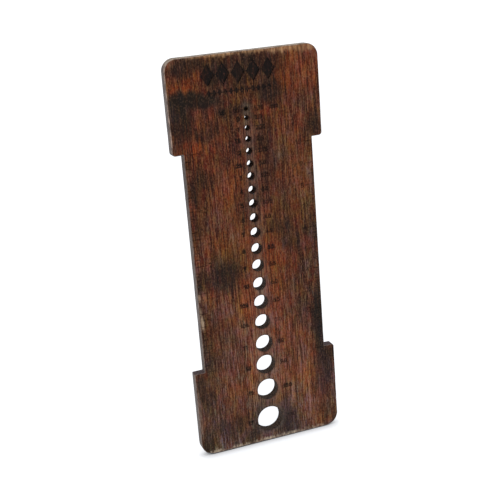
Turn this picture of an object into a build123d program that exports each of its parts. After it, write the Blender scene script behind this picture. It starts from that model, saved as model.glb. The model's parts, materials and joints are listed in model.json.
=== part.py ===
from build123d import *
from functools import cache
import os

# Knitting needle gauge: a flat plate pressed from five bonded wood veneers, cut
# to a capital-I outline, with a column of graded sizing holes, two edge rulers
# and engraved size labels.
#
# Frame: X across the width, +Z up along the length, the labelled face looks
# towards -Y. The origin is the middle of the bottom edge, at mid thickness.
# The flat patterns are drawn in X and Y, and their Y becomes Z on the plate.
# All lengths are millimetres.

os.makedirs("parts", exist_ok=True)

# ---------------------------------------------------------------- plate outline
inch = 25.4
plate_width = 70.0
plate_height = 185.0
notch_depth = 5.0             # the waist is this much narrower on each side
notch_length = 4 * inch       # the waist's height, so that it is a ruler
foot_height = 42.4            # bottom edge to the lower shoulder
top_corner_r = 5.5
bottom_corner_r = 6.6
upper_shoulder_r = 1.5        # outside corners of the top flange, lower end
lower_right_shoulder_r = 1.1  # outside corner of the bottom flange, upper right end
lower_left_shoulder_r = 0.45  # the same corner on the left, left almost square
inner_corner_r = 0.3          # cutter radius in the waist's four inner corners

half_w = plate_width / 2
half_waist = half_w - notch_depth
shoulder_low = foot_height
shoulder_high = foot_height + notch_length

# ------------------------------------------------------------------- lamination
veneer_t = 0.78
glue_t = 0.10
thickness = 5 * veneer_t + 4 * glue_t
edge_round = 0.35             # sanded round on the rims of the two outer faces

# ------------------------------------------------------------------ sizing holes
hole_x = -0.15
bore_factor = 1.02            # the bore is the nominal size times this,
bore_allowance = 0.10         # plus this sliding allowance on the diameter
# (nominal needle size, US size label, right-hand end of that label, hole centre z)
holes = [
    (1.75, "00", -3.60, 160.30), (2.00, "0", -3.70, 156.45), (2.25, "1", -3.80, 151.95),
    (2.50, "1h", -3.90, 147.05), (2.75, "2", -4.10, 141.70), (3.00, "2h", -4.10, 136.05),
    (3.25, "3", -4.50, 130.45), (3.50, "4", -4.70, 124.20), (3.75, "5", -5.00, 117.90),
    (4.00, "6", -5.20, 111.25), (4.50, "7", -5.60, 104.40), (5.00, "8", -6.00, 96.75),
    (5.50, "9", -6.10, 88.75), (6.00, "10", -5.60, 79.90), (6.50, "10h", -6.60, 71.00),
    (7.00, "10q", -7.20, 61.25), (8.00, "11", -8.40, 50.40), (9.00, "13", -8.00, 39.75),
    (10.0, "15", -7.60, 26.95), (12.0, "17", -9.00, 11.55),
]

# --------------------------------------------------------------------- lettering
stroke = 0.17                 # stroke width as a fraction of the letter height
fraction_stroke = 0.7         # the one-piece fractions are thinner by this factor
label_depth = 0.20
label_h = 1.55                # height of the size labels
label_drop = 0.30             # labels sit this much below their hole's centre
label_gap = 2.80              # hole wall to millimetre label
us_heading_x = -12.0          # left end of the heading over the US sizes
mm_heading_x = 11.2           # left end of the heading over the millimetre sizes
mm_heading_h = 1.90

# Single-stroke characters on a cell 0.6 wide and 1 high, each a list of polylines
# of (x, y). h is one half and q is three quarters.
cell_w = .6
glyph_strokes = {
    "0": [[(.15, 0), (0, .17), (0, .83), (.15, 1), (.45, 1), (.6, .83), (.6, .17), (.45, 0),
           (.15, 0)]],
    "1": [[(.12, .78), (.36, 1), (.36, 0)]],
    "2": [[(0, .80), (.15, 1), (.45, 1), (.6, .84), (.6, .62), (.02, 0), (.62, 0)]],
    "3": [[(0, 1), (.58, 1), (.26, .60), (.44, .60), (.6, .44), (.6, .16), (.44, 0), (.15, 0),
           (0, .13)]],
    "4": [[(.46, 0), (.46, 1)], [(.47, 1), (0, .28), (.64, .28)]],
    "5": [[(.57, 1), (.07, 1), (.04, .56), (.42, .60), (.6, .44), (.6, .16), (.44, 0), (.13, 0),
           (0, .12)]],
    "6": [[(.50, 1), (.20, .84), (0, .48), (0, .16), (.15, 0), (.45, 0), (.6, .16), (.6, .40),
           (.46, .56)],
          [(.49, .56), (.04, .56)]],
    "7": [[(0, 1), (.6, 1), (.2, 0)]],
    "8": [[(.15, .53), (.03, .66), (.03, .88), (.15, 1), (.45, 1), (.57, .88), (.57, .66),
           (.45, .53), (.15, .53)],
          [(.15, .53), (0, .40), (0, .14), (.15, 0), (.45, 0), (.6, .14), (.6, .40),
           (.45, .53), (.15, .53)]],
    "9": [[(.10, 0), (.40, .16), (.6, .52), (.6, .84), (.45, 1), (.15, 1), (0, .84), (0, .60),
           (.14, .44)],
          [(.11, .44), (.56, .44)]],
    ".": [[(.10, .01), (.10, .18)]],
    "m": [[(0, 0), (0, .70)],
          [(0, .58), (.14, .70), (.26, .70), (.38, .58), (.38, 0)],
          [(.38, .58), (.52, .70), (.64, .70), (.76, .58), (.76, 0)]],
    "U": [[(0, 1), (0, .17), (.15, 0), (.45, 0), (.6, .17), (.6, 1)]],
    "S": [[(.6, .86), (.47, 1), (.13, 1), (0, .86), (0, .66), (.13, .54), (.47, .48), (.6, .34),
           (.6, .14), (.47, 0), (.13, 0), (0, .14)]],
    "h": [[(.04, .86), (.18, .98), (.18, .58)], [(.08, .0), (.58, .96)],
          [(.46, .34), (.56, .42), (.68, .42), (.76, .33), (.46, .0), (.78, .0)]],
    "q": [[(.02, .98), (.30, .98), (.14, .80), (.30, .68), (.18, .57), (.02, .60)],
          [(.12, .0), (.60, .96)],
          [(.74, .0), (.74, .42)], [(.75, .42), (.48, .12), (.86, .12)]],
}
# Distance to the next character, as a fraction of the letter height.
usual_advance = .86
special_advance = {".": .36, "m": 1.06, "h": 1.02, "q": 1.08}

# ------------------------------------------------------------------------ rulers
scale_depth = 0.20
scale_h = 1.90                # height of the ruler numbers
number_gap = 1.0              # longest numbered tick to its number
tick_w = 0.26
tick_short, tick_half, tick_long = 2.9, 4.5, 5.9  # reach in from the waist's edge
tick_overrun = 0.5            # ticks are cut from this far outside the edge
end_tick_inset = 1.2          # ticks level with a shoulder start this far inside it

# ---------------------------------------------------------------------- ornament
ornament_x = -2.5
lozenge_w, lozenge_h, lozenge_pitch, lozenge_count = 6.0, 9.2, 6.9, 5
lozenge_z = 176.4
lozenge_depth = 0.40
small_w, small_h, small_pitch, small_count = 1.7, 2.3, 2.5, 12
small_z = 168.7


def hole_radius(size):
    return (size * bore_factor + bore_allowance) / 2


def advance(character):
    return special_advance.get(character, usual_advance)


@cache
def glyph(character, height):
    """One character as a flat face, its lower left corner at the origin."""
    thinning = fraction_stroke if character in "hq" else 1.0
    with BuildSketch() as drawn:
        for points in glyph_strokes[character]:
            with BuildLine():
                Polyline(*[(x * height, y * height) for x, y in points])
            trace(line_width=stroke * height * thinning)
    return drawn.sketch


def engrave_text(text, x, z, height, right=False):
    """Adds text to the sketch in hand: x is its left or right end, z its mid height."""
    if right:
        x -= (sum(advance(c) for c in text) - (usual_advance - cell_w)) * height
    for character in text:
        letter = glyph(character, height)
        with Locations((x, z - height / 2)):
            add(letter)
        x += advance(character) * height


def tick(side, z, start, reach):
    """Adds a ruler tick from start to reach, both measured inwards from the
    waist's left (side -1) or right (side +1) edge."""
    outer_end = Align.MIN if side < 0 else Align.MAX
    with Locations((side * (half_waist - start), z)):
        Rectangle(reach - start, tick_w, align=(outer_end, Align.CENTER))


def lozenge_row(width, height, pitch, count, z):
    """A row of upright lozenges, centred on ornament_x."""
    with BuildSketch() as row:
        with BuildLine():
            Polyline((0, -height / 2), (width / 2, 0), (0, height / 2), (-width / 2, 0),
                     close=True)
        lozenge = make_face(mode=Mode.PRIVATE)
        with Locations((ornament_x, z)):
            with GridLocations(pitch, 1, count, 1):
                add(lozenge)
    return row.sketch


# ----------------------------------------- drilled outline, shared by every layer
# (radius, x of the corners, height of the corners)
both_sides = (-half_w, half_w)
corner_rounds = [
    (top_corner_r, both_sides, (plate_height,)),
    (bottom_corner_r, both_sides, (0,)),
    (upper_shoulder_r, both_sides, (shoulder_high,)),
    (lower_right_shoulder_r, (half_w,), (shoulder_low,)),
    (lower_left_shoulder_r, (-half_w,), (shoulder_low,)),
    (inner_corner_r, (-half_waist, half_waist), (shoulder_low, shoulder_high)),
]


def is_near(value, targets):
    return any(abs(value - target) < .01 for target in targets)


with BuildSketch() as plate_outline:
    with BuildLine():
        Polyline(
            (0, 0), (half_w, 0), (half_w, shoulder_low), (half_waist, shoulder_low),
            (half_waist, shoulder_high), (half_w, shoulder_high),
            (half_w, plate_height), (0, plate_height),
        )
        mirror(about=Plane.YZ)
    make_face()
    for radius, corner_xs, corner_ys in corner_rounds:
        corners = plate_outline.vertices().filter_by(
            lambda v: is_near(v.X, corner_xs) and is_near(v.Y, corner_ys))
        fillet(corners, radius)

with BuildSketch() as drilled_outline:
    add(plate_outline.sketch)
    for size, _, _, z in holes:
        with Locations((hole_x, z)):
            Circle(hole_radius(size), mode=Mode.SUBTRACT)

# -------------------------------------------------------- engraving flat patterns
with BuildSketch() as size_labels:
    for size, us_text, us_end_x, z in holes:
        # Odd quarters of a millimetre need two decimals.
        mm_text = f"{size:.2f}" if (size * 4) % 2 else f"{size:.1f}"
        mm_x = hole_x + hole_radius(size) + label_gap
        engrave_text(mm_text, mm_x, z - label_drop, label_h)
        engrave_text(us_text, us_end_x, z - label_drop, label_h, right=True)
    heading_z = holes[0][-1] - label_drop
    engrave_text("US", us_heading_x, heading_z, label_h)
    engrave_text("mm", mm_heading_x, heading_z, mm_heading_h)

# Left edge of the waist: inches in eighths.
with BuildSketch() as inch_scale:
    for eighth in range(1, 32):
        reach = tick_long if eighth % 8 == 0 else tick_half if eighth % 4 == 0 else tick_short
        tick(-1, shoulder_low + eighth * inch / 8, -tick_overrun, reach)
    for z in (shoulder_low, shoulder_high):
        tick(-1, z, end_tick_inset, tick_long)
    for n in range(1, 5):
        engrave_text(str(n), -half_waist + tick_long + number_gap, shoulder_low + n * inch,
                     scale_h)

# Right edge of the waist: centimetres in halves.
with BuildSketch() as centimetre_scale:
    for half_cm in range(1, 21):
        reach = tick_half if half_cm % 2 == 0 else tick_short
        tick(1, shoulder_low + half_cm * 5.0, -tick_overrun, reach)
    tick(1, shoulder_low, end_tick_inset, tick_half)
    for n in range(1, 11):
        engrave_text(str(n), half_waist - tick_half - number_gap, shoulder_low + n * 10.0,
                     scale_h, right=True)

# Across the head of the plate: a bold row of lozenges over a row of small ones.
large_lozenges = lozenge_row(lozenge_w, lozenge_h, lozenge_pitch, lozenge_count, lozenge_z)
small_lozenges = lozenge_row(small_w, small_h, small_pitch, small_count, small_z)

# (flat patterns cut together, depth), in cutting order
face_engravings = [
    ([size_labels.sketch], label_depth),
    ([inch_scale.sketch, centimetre_scale.sketch], scale_depth),
    ([large_lozenges], lozenge_depth),
    ([small_lozenges], label_depth),
]


# ------------------------------------------------------------------------ layers
def layer_plane(depth):
    """The plane parallel to the labelled face and this far behind it, facing outwards."""
    return Plane.XZ.offset(thickness / 2 - depth)


def export_layer(name, front_depth, layer_t, rounded_face=None, engravings=()):
    """Builds and writes one layer, its front at front_depth behind the labelled face.
    rounded_face is the place, counted along Y, of the face whose rim is sanded."""
    with BuildPart() as layer:
        with BuildSketch(layer_plane(front_depth + layer_t)):
            add(drilled_outline.sketch)
        extrude(amount=layer_t)
        if rounded_face is not None:
            rim = layer.faces().sort_by(Axis.Y)[rounded_face].outer_wire().edges()
            fillet(rim, edge_round)
        for patterns, depth in engravings:
            with BuildSketch(layer_plane(0)):
                for pattern in patterns:
                    add(pattern)
            extrude(amount=-depth, mode=Mode.SUBTRACT)
    layer.part.label = name
    export_step(layer.part, f"parts/{name}.step")


pitch = veneer_t + glue_t     # front of one veneer to the front of the next

# Front veneer, grain along the plate. Its face carries every engraving.
export_layer("front_face_veneer", 0, veneer_t, rounded_face=0, engravings=face_engravings)

# Inner veneers: the cross bands' grain runs across the plate, the core's along it.
export_layer("front_cross_band", pitch, veneer_t)
export_layer("core_veneer", 2 * pitch, veneer_t)
export_layer("rear_cross_band", 3 * pitch, veneer_t)

# Back veneer, plain.
export_layer("back_face_veneer", 4 * pitch, veneer_t, rounded_face=-1)

# Cured glue behind each veneer but the last, front to back.
glue_films = ["front_face_glue_film", "front_core_glue_film",
              "rear_core_glue_film", "back_face_glue_film"]
for index, name in enumerate(glue_films):
    export_layer(name, index * pitch + veneer_t, glue_t)
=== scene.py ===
import itertools
import json
import math
from functools import cached_property

import bpy
import numpy as np
from mathutils import Matrix, Vector, kdtree
from mathutils.geometry import delaunay_2d_cdt


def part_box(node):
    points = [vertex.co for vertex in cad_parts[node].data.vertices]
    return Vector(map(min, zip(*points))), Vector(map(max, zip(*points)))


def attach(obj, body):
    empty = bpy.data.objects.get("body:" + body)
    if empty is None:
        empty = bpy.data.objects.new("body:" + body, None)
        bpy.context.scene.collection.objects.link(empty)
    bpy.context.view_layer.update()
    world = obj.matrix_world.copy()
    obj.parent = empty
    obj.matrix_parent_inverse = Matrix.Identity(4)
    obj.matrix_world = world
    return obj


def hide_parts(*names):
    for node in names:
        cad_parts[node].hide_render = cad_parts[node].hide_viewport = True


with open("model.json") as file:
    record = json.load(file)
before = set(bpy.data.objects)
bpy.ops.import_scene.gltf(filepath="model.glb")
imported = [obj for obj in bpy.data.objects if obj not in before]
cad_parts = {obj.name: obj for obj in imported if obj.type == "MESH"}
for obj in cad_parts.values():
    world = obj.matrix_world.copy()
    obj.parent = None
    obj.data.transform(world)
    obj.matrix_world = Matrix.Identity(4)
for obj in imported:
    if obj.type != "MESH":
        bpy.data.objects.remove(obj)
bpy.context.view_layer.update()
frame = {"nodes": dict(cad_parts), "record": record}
MM = 0.001

# ----------------------------------------------------------------------------
# sizes
# ----------------------------------------------------------------------------
NODES = ["front_face_veneer", "front_face_glue_film", "front_cross_band", "front_core_glue_film",
         "core_veneer", "rear_core_glue_film", "rear_cross_band", "back_face_glue_film",
         "back_face_veneer"]
LAYER = {}                               # node: (front y, back y)
for node in NODES:
    low_corner, high_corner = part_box(node)
    LAYER[node] = (low_corner.y / MM, high_corner.y / MM)
Y_FRONT = LAYER["front_face_veneer"][0]
Y_BACK = LAYER["back_face_veneer"][1]
core_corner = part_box("core_veneer")[1]
HALF_WIDTH = core_corner.x / MM
HEIGHT = core_corner.z / MM
MOUNTS = frame["record"]["mounts"]
HOLES = [(m["pos_m"][0] / MM, m["pos_m"][2] / MM, m["dims"]["r_mm"])      # x, z, radius
         for m in MOUNTS if m["kind"] == "bore"]
HALF_WAIST = next(abs(m["pos_m"][0] / MM) for m in MOUNTS if m["name"] == "ruler_edge_left")


def waist_span():
    """Heights of the waist's lower and upper shoulders, from the CAD core veneer."""
    points = np.array([v.co for v in frame["nodes"]["core_veneer"].data.vertices]) / MM
    across, heights = np.abs(points[:, 0]), points[:, 2]
    ledge = (across > HALF_WAIST + 0.25) & (across < HALF_WIDTH - 1.55)
    shoulders = heights[ledge & (heights > 15) & (heights < HEIGHT - 15)]
    return float(shoulders.min()), float(shoulders.max())


Z_LOW, Z_HIGH = waist_span()
# corner radii of the outline
R_TOP = 5.5
R_BOTTOM = 6.6
R_UP_SHOULDER = 1.5
R_LOW_SHOULDER = {-1: 0.45, 1: 1.1}      # left, right
R_INNER = 0.3

# ruler ticks: eighths of an inch on the left, 5 mm apart on the right
INCH = 25.4
METRIC_PITCH = 5.0
TICK_WIDTH = 0.26
TICK_DEPTH = 0.20
TICK_SLOPE = 0.035                       # width of a tick's sloping walls
TICK_SHORT, TICK_MEDIUM, TICK_LONG = 2.9, 4.5, 5.9
RULER_BAND = 10.0                        # width of the strip that each ruler takes up

THICK_LAYER = 0.4                        # above this a layer is a veneer, below it a glue film
GLUE_RECESS = 0.035
GRID_X, GRID_Z = 0.27, 0.95              # spacing of the face's points, across and along the grain


# ----------------------------------------------------------------------------
# repeatable noise, vectorised
# ----------------------------------------------------------------------------
def lattice_hash(x, y, z, seed):
    """A repeatable 0..1 value for each lattice point."""
    mask = 0xFFFFFFFF
    mixed = (x.astype(np.int64) * 374761393 + y.astype(np.int64) * 668265263
             + z.astype(np.int64) * 2147483647 + seed * 974634777) & mask
    for shift, factor in ((13, 1274126177), (16, 2246822519)):
        mixed = ((mixed ^ (mixed >> shift)) * factor) & mask
    return (mixed ^ (mixed >> 15)) / 4294967295.0


def vnoise(x, y, z=None, seed=0):
    """Smooth value noise in -1..1."""
    place = (x, y, np.zeros_like(x) if z is None else z)
    cells = [np.floor(values) for values in place]
    weights = []
    for values, cell in zip(place, cells):
        part = values - cell
        weights.append(part * part * part * (part * (part * 6 - 15) + 10))
    total = 0
    for corner in itertools.product((0, 1), repeat=3):
        weight = math.prod(w if near else 1 - w for w, near in zip(weights, corner))
        total = total + weight * lattice_hash(*(c + d for c, d in zip(cells, corner)), seed)
    return total * 2 - 1


def fbm(*place, seed=0, octaves=3):
    """Value noise summed over octaves, each half as strong as the one before; -1..1."""
    total, strength, strengths, scale = 0, 1.0, 0.0, 1.0
    for i in range(octaves):
        total = total + strength * vnoise(*(values * scale for values in place), seed=seed + 17 * i)
        strengths += strength
        strength *= 0.5
        scale *= 2.03
    return total / strengths


def smooth(start, end, value):
    share = np.clip((np.asarray(value, float) - start) / (end - start), 0, 1)
    return share * share * (3 - 2 * share)


# ----------------------------------------------------------------------------
# the plate's outline and the bores, as (x, z) points with outward normals
# ----------------------------------------------------------------------------
def tick_heights(side):
    if side < 0:
        return [Z_LOW + i * INCH / 8 for i in range(1, 32)]
    return [Z_LOW + i * METRIC_PITCH for i in range(1, 21)]


def tick_corners(height):
    """Heights where a tick's walls start and end, from its lower edge to its upper."""
    half = TICK_WIDTH / 2
    return [height - half, height - half + TICK_SLOPE, height + half - TICK_SLOPE, height + half]


def waist_samples(side, step):
    """Heights along a waist edge, with four extra ones where each ruler tick opens onto it."""
    start, end = Z_LOW + R_INNER, Z_HIGH - R_INNER
    regular = np.linspace(start, end, int((end - start) / step) + 1)
    extra = np.array([z for height in tick_heights(side) for z in tick_corners(height)])
    keep = np.abs(regular[:, None] - extra[None]).min(1) > 0.12
    keep[0] = keep[-1] = True
    extra = extra[(extra > start + 0.01) & (extra < end - 0.01)]
    return np.sort(np.r_[regular[keep], extra])


def outline(step, ticks=False):
    """Points, outward normals, and whether each point belongs to a waist edge.

    Counter-clockwise seen from the front, starting at the middle of the bottom edge.
    """
    def line(start, end, normal, heights=None):
        if heights is None:
            share = np.linspace(0, 1, max(int(math.dist(start, end) / step), 1) + 1)
        else:
            share = (heights - start[1]) / (end[1] - start[1])
        points = np.outer(1 - share, start) + np.outer(share, end)
        on_waist = start[0] == end[0] == HALF_WAIST
        return points, np.repeat([normal], len(points), 0), np.full(len(points), on_waist)

    def arc(centre, radius, start, end, concave=False):
        length = abs(math.radians(end - start)) * radius
        turn = np.radians(np.linspace(start, end, max(int(length / min(step, 0.35)), 5) + 1))
        away = np.c_[np.cos(turn), np.sin(turn)]
        points = np.array(centre) + radius * away
        return points, -away if concave else away, np.full(len(away), False)

    def half(side):
        """One half of the outline, from the bottom up, as it lies for positive x."""
        wide, waist, inner, upper = HALF_WIDTH, HALF_WAIST, R_INNER, R_UP_SHOULDER
        low = R_LOW_SHOULDER[side]
        heights = waist_samples(side, step) if ticks else None
        return [
            line((0, 0), (wide - R_BOTTOM, 0), (0, -1)),
            arc((wide - R_BOTTOM, R_BOTTOM), R_BOTTOM, -90, 0),
            line((wide, R_BOTTOM), (wide, Z_LOW - low), (1, 0)),
            arc((wide - low, Z_LOW - low), low, 0, 90),
            line((wide - low, Z_LOW), (waist + inner, Z_LOW), (0, 1)),
            arc((waist + inner, Z_LOW + inner), inner, -90, -180, concave=True),
            line((waist, Z_LOW + inner), (waist, Z_HIGH - inner), (1, 0), heights),
            arc((waist + inner, Z_HIGH - inner), inner, 180, 90, concave=True),
            line((waist + inner, Z_HIGH), (wide - upper, Z_HIGH), (0, -1)),
            arc((wide - upper, Z_HIGH + upper), upper, -90, 0),
            line((wide, Z_HIGH + upper), (wide, HEIGHT - R_TOP), (1, 0)),
            arc((wide - R_TOP, HEIGHT - R_TOP), R_TOP, 0, 90),
            line((wide - R_TOP, HEIGHT), (0, HEIGHT), (0, 1)),
        ]

    def join(parts):
        kept = []
        for part in parts:
            for row in zip(*part):
                if not kept or math.dist(row[0], kept[-1][0]) >= 1e-6:
                    kept.append(row)
        points, normals, on_waist = zip(*kept)
        return np.array(points), np.array(normals, float), np.array(on_waist)

    points, normals, on_waist = join(half(1))
    left_points, left_normals, left_waist = (part[::-1][1:-1] for part in join(half(-1)))
    mirror = [-1, 1]
    return (np.vstack([points, left_points * mirror]), np.vstack([normals, left_normals * mirror]),
            np.r_[on_waist, left_waist])


def circle(x, z, radius, step):
    count = max(int(2 * math.pi * radius / step), 36)
    turn = np.linspace(0, 2 * math.pi, count, endpoint=False)
    away = np.c_[np.cos(turn), np.sin(turn)]
    return np.array([x, z]) + radius * away, away


# ----------------------------------------------------------------------------
# engraved shapes, taken from the CAD front veneer's own recess floors
# ----------------------------------------------------------------------------
def engraved_loops():
    """[(points N×2, depth)]: the edges of every engraved floor, the floor on the left of each
    step, without the ticks that run out over a ruler edge."""
    mesh = frame["nodes"]["front_face_veneer"].data
    points = np.array([v.co for v in mesh.vertices]) / MM
    known = {}
    merged = np.array([known.setdefault((round(x, 3), round(y, 3), round(z, 3)), len(known))
                       for x, y, z in points])
    place = np.zeros((len(known), 3))
    place[merged] = points
    edges = {}                           # a dict, so that edges keep the order they came in
    for polygon in mesh.polygons:
        depths = points[list(polygon.vertices), 1]
        level = abs(depths.max() - depths.min()) <= 1e-3
        if not level or not (Y_FRONT + 0.1 < depths[0] < Y_FRONT + 0.6):
            continue
        corners = [int(merged[i]) for i in polygon.vertices]
        (x0, z0), (x1, z1), (x2, z2) = place[corners][:3, [0, 2]]
        if (x1 - x0) * (z2 - z0) - (x2 - x0) * (z1 - z0) < 0:
            corners = corners[::-1]
        edges.update(dict.fromkeys(zip(corners, corners[1:] + corners[:1])))
    follow = {start: end for start, end in edges if (end, start) not in edges}
    loops = []
    while follow:
        ring, corner = [], min(follow)
        while corner in follow:
            ring.append(corner)
            corner = follow.pop(corner)
        loop = place[ring]
        reach, heights = np.abs(loop[:, 0]).max(), loop[:, 2]
        at_ruler_edge = (HALF_WAIST - 0.6 < reach < HALF_WAIST + 1
                         and Z_LOW < heights.min() and heights.max() < Z_HIGH)
        if len(ring) >= 3 and not at_ruler_edge:
            loops.append((loop[:, [0, 2]], float(loop[0, 1] - Y_FRONT)))
    return loops


def tidy(points, least=0.03, most=0.45):
    """Drops points closer than `least` or on a straight run, then cuts sides to about `most`."""
    spaced = []
    for point in points:
        if not spaced or math.dist(point, spaced[-1]) >= least:
            spaced.append(point)
    if math.dist(spaced[0], spaced[-1]) < least:
        spaced.pop()
    corners = []
    for i, here in enumerate(spaced):
        before, after = spaced[i - 1], spaced[(i + 1) % len(spaced)]
        cross = ((here[0] - before[0]) * (after[1] - here[1])
                 - (here[1] - before[1]) * (after[0] - here[0]))
        if abs(cross) > 1e-4 * math.dist(before, here) * math.dist(here, after):
            corners.append(here)
    cut = []
    for i, here in enumerate(corners):
        after = corners[(i + 1) % len(corners)]
        count = max(int(math.dist(here, after) / most), 1)
        cut += [here + (after - here) * k / count for k in range(count)]
    return np.array(cut)


def inset(points, distance):
    """Each point moved to its left by the distance, mitred."""
    into, out = points - np.roll(points, 1, 0), np.roll(points, -1, 0) - points
    into /= np.linalg.norm(into, axis=1)[:, None]
    out /= np.linalg.norm(out, axis=1)[:, None]
    left = np.c_[-into[:, 1], into[:, 0]]
    mitre = left + np.c_[-out[:, 1], out[:, 0]]
    mitre /= np.maximum((mitre * left).sum(1), 0.45)[:, None]
    return points + mitre * distance


def inside(points, loops):
    """Even-odd test of points against closed loops."""
    odd = np.zeros(len(points), bool)
    for start in loops:
        end = np.roll(start, -1, 0)
        in_box = (points >= start.min(0)).all(1) & (points <= start.max(0)).all(1)
        chosen = np.nonzero(in_box)[0]
        if not len(chosen):
            continue
        x, z = points[chosen, 0][:, None], points[chosen, 1][:, None]
        crosses = (start[None, :, 1] > z) != (end[None, :, 1] > z)
        side = end - start
        with np.errstate(divide="ignore", invalid="ignore"):
            meet = start[None, :, 0] + (z - start[None, :, 1]) * side[None, :, 0] / side[None, :, 1]
        odd[chosen] ^= ((crosses & (x < meet)).sum(1) % 2).astype(bool)
    return odd


def point_tree(points):
    tree = kdtree.KDTree(len(points))
    for i, (x, z) in enumerate(points):
        tree.insert((x, z, 0), i)
    tree.balance()
    return tree


def nearest(points, others):
    """Distance from each point to the nearest of the others."""
    tree = point_tree(others)
    return np.array([tree.find((x, z, 0))[2] for x, z in points])


# ----------------------------------------------------------------------------
# surface relief: how far the worn, open-pored face lies below the CAD plane
# ----------------------------------------------------------------------------
# cell width, cell height, share of cells with a pore, pore half width, pore half length
PORES = ((0.9, 7.0, 0.62, 0.17, 2.4), (0.62, 4.4, 0.5, 0.13, 1.5))


def pore_field(x, z, seed):
    """0..1: short grooves along the grain."""
    total = np.zeros_like(x)
    for k, (cell_x, cell_z, share, half_width, half_length) in enumerate(PORES):
        for step_x, step_z in itertools.product((-1, 0, 1), repeat=2):
            column, row = np.floor(x / cell_x) + step_x, np.floor(z / cell_z) + step_z

            def random(which):
                return lattice_hash(column, row, np.zeros_like(column), seed + which + k)

            centre_x = (column + random(6)) * cell_x
            centre_z = (row + random(7)) * cell_z
            length = half_length * (0.5 + random(8))
            lean = (random(9) - 0.5) * 0.05
            far = np.sqrt(((x - centre_x - lean * (z - centre_z)) / half_width) ** 2
                          + ((z - centre_z) / length) ** 2)
            pore = np.where(random(5) < share, np.clip(1.25 - far, 0, 1), 0)
            total = np.maximum(total, pore)
    return total


def relief(x, z, seed):
    """Depth in mm, never negative."""
    broad = 0.030 * (0.5 + 0.5 * fbm(x / 9.0, z / 22.0, seed=seed))
    ridges = 0.022 * (0.5 + 0.5 * fbm(x / 0.9, z / 14.0, seed=seed + 3, octaves=2))
    dents = (0.05 * smooth(0.62, 0.95, vnoise(x / 1.7, z / 2.6, seed=seed + 11))
             * smooth(0.1, 0.6, vnoise(x / 14, z / 19, seed=seed + 12)))
    return broad + ridges + 0.055 * pore_field(x, z, seed) + dents


# ----------------------------------------------------------------------------
# soft patches of stain and wear: (x, z, half width, half height, strength), seen on the front
# ----------------------------------------------------------------------------
DARK = [
    (-24, 166.5, 13, 3.6, 1.0), (-31, 159, 5, 9, .85), (-25, 180, 8, 3.4, .6), (10, 179, 9, 6, .6),
    (-6, 176, 9, 7, .45), (11, 167, 6, 6, .75), (-8, 160.5, 10, 3.2, .5), (-25, 130, 4, 8, .5),
    (-15, 87.5, 7, 7.5, .75), (-25, 85, 6, 5, .5), (28, 58, 4, 14, 1.0), (12, 106.5, 6, 4, .5),
    (31, 150, 4, 6, .6), (-31, 33, 4, 10, .5), (-20, 12, 7, 5, .45), (2, 11, 10, 8, .55),
    (28, 28, 5, 11, .5), (-27, 52, 3, 10, .4), (10, 6, 5, 7, .45), (-22, 152, 9, 3.5, .4),
    (-33, 7, 4, 6, .5), (17, 99, 6, 7, .35), (-6, 118, 5, 8, .25), (-29, 146, 4, 4, .3),
    (27, 100, 3, 10, .4), (-15, 178, 6, 5, .4), (-29, 112, 3, 9, .35), (8, 138, 4, 14, .35),
    (-9, 3, 4, 5, .4)]
WARM = [
    (22, 174, 14, 12, .75), (-26, 145.5, 7, 3.5, .8), (-29, 171, 5, 3, .8), (22, 130, 6, 16, .4),
    (4, 84, 9, 16, .8), (2, 60, 13, 20, .7), (-22, 67, 9, 12, .35), (20, 37, 13, 13, .4),
    (-11, 123, 7, 12, .6), (-8, 105, 10, 9, .5), (6, 122, 7, 14, .25), (-14, 34, 9, 16, .5),
    (20, 22, 9, 12, .75), (22, 5, 8, 6, .5), (8, 30, 8, 8, .5)]
OLIVE = [
    (22, 134, 7, 15, .8), (-14, 98, 7, 7, .7), (-28, 68, 3, 14, .7), (24, 112, 5, 8, .4),
    (2, 22, 6, 12, .3), (-31, 138, 5, 8, .3)]
PALE = [
    (-8, 12, 40, 14, .8), (12, 34, 16, 14, .4), (-22, 34, 12, 12, .45), (-14, 60, 12, 18, .3),
    (-8, 106, 12, 18, .25)]
STREAKS = [
    (4, 48, 13, 34, .8), (18, 26, 10, 16, .9), (-12, 62, 12, 16, .6), (-14, 22, 12, 16, .5),
    (-12, 132, 14, 22, .4), (22, 150, 10, 30, .4), (18, 176, 16, 8, .5)]
# veneer rubbed bare along the rims
BARE = [
    (-28, 1.0, 4.5, 1.0, 1.0), (-16, 1.0, 6, .8, .8), (-2, 1.0, 7, .9, 1.0), (11, 1.0, 7, .9, .9),
    (24, 1.1, 5, .7, .6), (-12, 184.6, 12, .9, .8), (5, 184.6, 9, .9, .75), (19, 184.2, 8, 1.7, .7),
    (29, 183.6, 5, 2.0, .5), (-32.6, 182.6, 1.3, 1.3, .15), (-28.9, 66.5, .8, 3.4, .9),
    (-29.3, 72, .6, 2.4, .6), (-29.3, 78.5, .6, 2.2, .5), (-34.2, 168, .4, 9, .15),
    (-34.0, 22, .5, 12, .3)]
# where the stain is greyer and richer
GREY = [
    (-32, 165, 7, 8, .95), (-26, 182, 6, 4, .7), (-32, 12, 9, 26, .5), (31, 44, 5, 24, .45),
    (-4, 2, 34, 5, .5), (-6, 14, 24, 10, .25), (-31, 76, 4, 26, .4), (30, 105, 5, 26, .35),
    (0, 84, 13, 9, .22), (32, 39, 5, 5, .7)]
RED = [
    (-30, 176, 8, 7, 1.0), (-20, 174, 8, 6, .4), (-23, 160, 7, 8, .5), (-24, 142, 9, 20, .6),
    (-31, 118, 5, 14, .5), (-14, 116, 14, 20, .2), (24, 174, 12, 9, .45)]
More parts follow.
